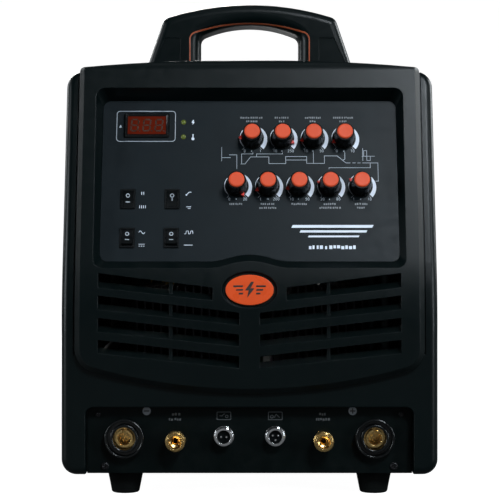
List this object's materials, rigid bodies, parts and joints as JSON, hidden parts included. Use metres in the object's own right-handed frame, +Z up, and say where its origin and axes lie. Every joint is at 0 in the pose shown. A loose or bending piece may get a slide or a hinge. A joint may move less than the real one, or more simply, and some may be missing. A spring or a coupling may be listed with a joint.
{
  "type": "tig welding machine",
  "caption": "Portable inverter TIG welding machine with a leaning control panel, pot knobs, louvred front, connector panel, carry handle and four rubber feet.",
  "frame": {"origin": "on the floor, under the middle of the case's bounding box", "axes": "+X to the right of someone facing the machine, +Y towards its back, +Z up"},
  "size_m": [0.37, 0.58, 0.5204],
  "materials": {
    "case_plastic": "fine spark-eroded grain, satin",
    "panel_face": "satin printed overlay",
    "connector_plate": "satin",
    "black_gloss": "gloss",
    "switch_plastic": "satin",
    "knob_plastic": "satin, fluted",
    "cap_orange": "satin",
    "badge_orange": "gloss",
    "trim_orange": "satin",
    "red_window": "dark red filter",
    "led_lens": "tinted lens",
    "cover_paint": "fine powder coat",
    "black_steel": "black zinc",
    "zinc_plate": "zinc plate",
    "chrome": "polished nickel",
    "brass": "turned",
    "copper": "enamelled copper",
    "heatsink_aluminium": "black anodised extrusion",
    "ferrite": "sintered",
    "board_green": "solder mask",
    "foot_rubber": "moulded rubber",
    "hose_rubber": "smooth rubber",
    "breaker_plastic": "moulded"
  },
  "bodies": {
    "case": {"front_bezel": "case_plastic", "control_panel": "panel_face", "display_frame": "black_gloss", "display_window": "red_window", "indicator_leds": "led_lens", "rocker_switch_bodies": "switch_plastic", "potentiometers": "zinc_plate", "control_board": "board_green", "front_badge": "badge_orange", "connector_panel": "connector_plate", "output_socket_shells": "black_gloss", "output_socket_contacts": "brass", "gas_couplings": "brass", "signal_connector_shells": "chrome", "signal_connector_inserts": "switch_plastic", "outer_cover": "cover_paint", "base_pan": "cover_paint", "rear_panel": "case_plastic", "handle_base": "case_plastic", "handle_grip": "case_plastic", "handle_trim": "trim_orange", "rubber_feet": "foot_rubber", "case_screws": "black_steel", "fan_housing": "switch_plastic", "fan_guard": "chrome", "inverter_board": "board_green", "heatsinks": "heatsink_aluminium", "transformer_core": "ferrite", "transformer_winding": "copper", "output_reactor": "copper", "gas_valve_body": "brass", "gas_hose": "hose_rubber", "breaker_body": "breaker_plastic", "cable_gland": "switch_plastic", "mains_cable": "hose_rubber"},
    "preflow_dial": {"preflow_knob": "knob_plastic", "preflow_knob_cap": "cap_orange"},
    "peak_current_dial": {"peak_current_knob": "knob_plastic", "peak_current_knob_cap": "cap_orange"},
    "base_current_dial": {"base_current_knob": "knob_plastic", "base_current_knob_cap": "cap_orange"},
    "downslope_dial": {"downslope_knob": "knob_plastic", "downslope_knob_cap": "cap_orange"},
    "arc_force_dial": {"arc_force_knob": "knob_plastic", "arc_force_knob_cap": "cap_orange"},
    "pulse_frequency_dial": {"pulse_frequency_knob": "knob_plastic", "pulse_frequency_knob_cap": "cap_orange"},
    "pulse_width_dial": {"pulse_width_knob": "knob_plastic", "pulse_width_knob_cap": "cap_orange"},
    "ac_balance_dial": {"ac_balance_knob": "knob_plastic", "ac_balance_knob_cap": "cap_orange"},
    "postflow_dial": {"postflow_knob": "knob_plastic", "postflow_knob_cap": "cap_orange"},
    "trigger_mode_switch": {"trigger_mode_rocker": "switch_plastic"},
    "process_switch": {"process_rocker": "switch_plastic"},
    "output_mode_switch": {"output_mode_rocker": "switch_plastic"},
    "pulse_switch": {"pulse_rocker": "switch_plastic"},
    "fan": {"fan_rotor": "switch_plastic"},
    "mains_toggle": {"breaker_toggle": "switch_plastic"},
    "valve_core": {"valve_plunger": "zinc_plate"}
  },
  "joints": [
    {"name": "preflow_turn", "type": "hinge", "parent": "case", "child": "preflow_dial", "pos_m": [0.0025, -0.23605, 0.355], "axis": [0, 0.9563, -0.2924], "range_deg": [-60, 240]},
    {"name": "peak_current_turn", "type": "hinge", "parent": "case", "child": "peak_current_dial", "pos_m": [0.033, -0.23605, 0.355], "axis": [0, 0.9563, -0.2924], "range_deg": [-267, 33]},
    {"name": "base_current_turn", "type": "hinge", "parent": "case", "child": "base_current_dial", "pos_m": [0.064, -0.23605, 0.355], "axis": [0, 0.9563, -0.2924], "range_deg": [-46, 254]},
    {"name": "downslope_turn", "type": "hinge", "parent": "case", "child": "downslope_dial", "pos_m": [0.095, -0.23605, 0.355], "axis": [0, 0.9563, -0.2924], "range_deg": [-37, 263]},
    {"name": "arc_force_turn", "type": "hinge", "parent": "case", "child": "arc_force_dial", "pos_m": [-0.0128, -0.25096, 0.30622], "axis": [0, 0.9563, -0.2924], "range_deg": [-297, 3]},
    {"name": "pulse_frequency_turn", "type": "hinge", "parent": "case", "child": "pulse_frequency_dial", "pos_m": [0.0182, -0.25096, 0.30622], "axis": [0, 0.9563, -0.2924], "range_deg": [-37, 263]},
    {"name": "pulse_width_turn", "type": "hinge", "parent": "case", "child": "pulse_width_dial", "pos_m": [0.0492, -0.25096, 0.30622], "axis": [0, 0.9563, -0.2924], "range_deg": [-46, 254]},
    {"name": "ac_balance_turn", "type": "hinge", "parent": "case", "child": "ac_balance_dial", "pos_m": [0.08, -0.25096, 0.30622], "axis": [0, 0.9563, -0.2924], "range_deg": [-78, 222]},
    {"name": "postflow_turn", "type": "hinge", "parent": "case", "child": "postflow_dial", "pos_m": [0.111, -0.25096, 0.30622], "axis": [0, 0.9563, -0.2924], "range_deg": [-90, 210]},
    {"name": "trigger_mode_tilt", "type": "hinge", "parent": "case", "child": "trigger_mode_switch", "pos_m": [-0.121, -0.25398, 0.29292], "axis": [1, 0, 0], "range_deg": [-24, 0]},
    {"name": "process_tilt", "type": "hinge", "parent": "case", "child": "process_switch", "pos_m": [-0.077, -0.25398, 0.29292], "axis": [1, 0, 0], "range_deg": [-24, 0]},
    {"name": "output_mode_tilt", "type": "hinge", "parent": "case", "child": "output_mode_switch", "pos_m": [-0.121, -0.26582, 0.2542], "axis": [1, 0, 0], "range_deg": [0, 24]},
    {"name": "pulse_tilt", "type": "hinge", "parent": "case", "child": "pulse_switch", "pos_m": [-0.0774, -0.26582, 0.2542], "axis": [1, 0, 0], "range_deg": [0, 24]},
    {"name": "fan_spin", "type": "hinge", "parent": "case", "child": "fan", "pos_m": [0.04, 0.225, 0.25], "axis": [0, 1, 0], "continuous": true},
    {"name": "mains_toggle_throw", "type": "hinge", "parent": "case", "child": "mains_toggle", "pos_m": [-0.112, 0.247, 0.33], "axis": [1, 0, 0], "range_deg": [0, 80]},
    {"name": "valve_lift", "type": "slide", "parent": "case", "child": "valve_core", "axis": [0, 0, 1], "range_m": [0, 0.0025]}
  ]
}
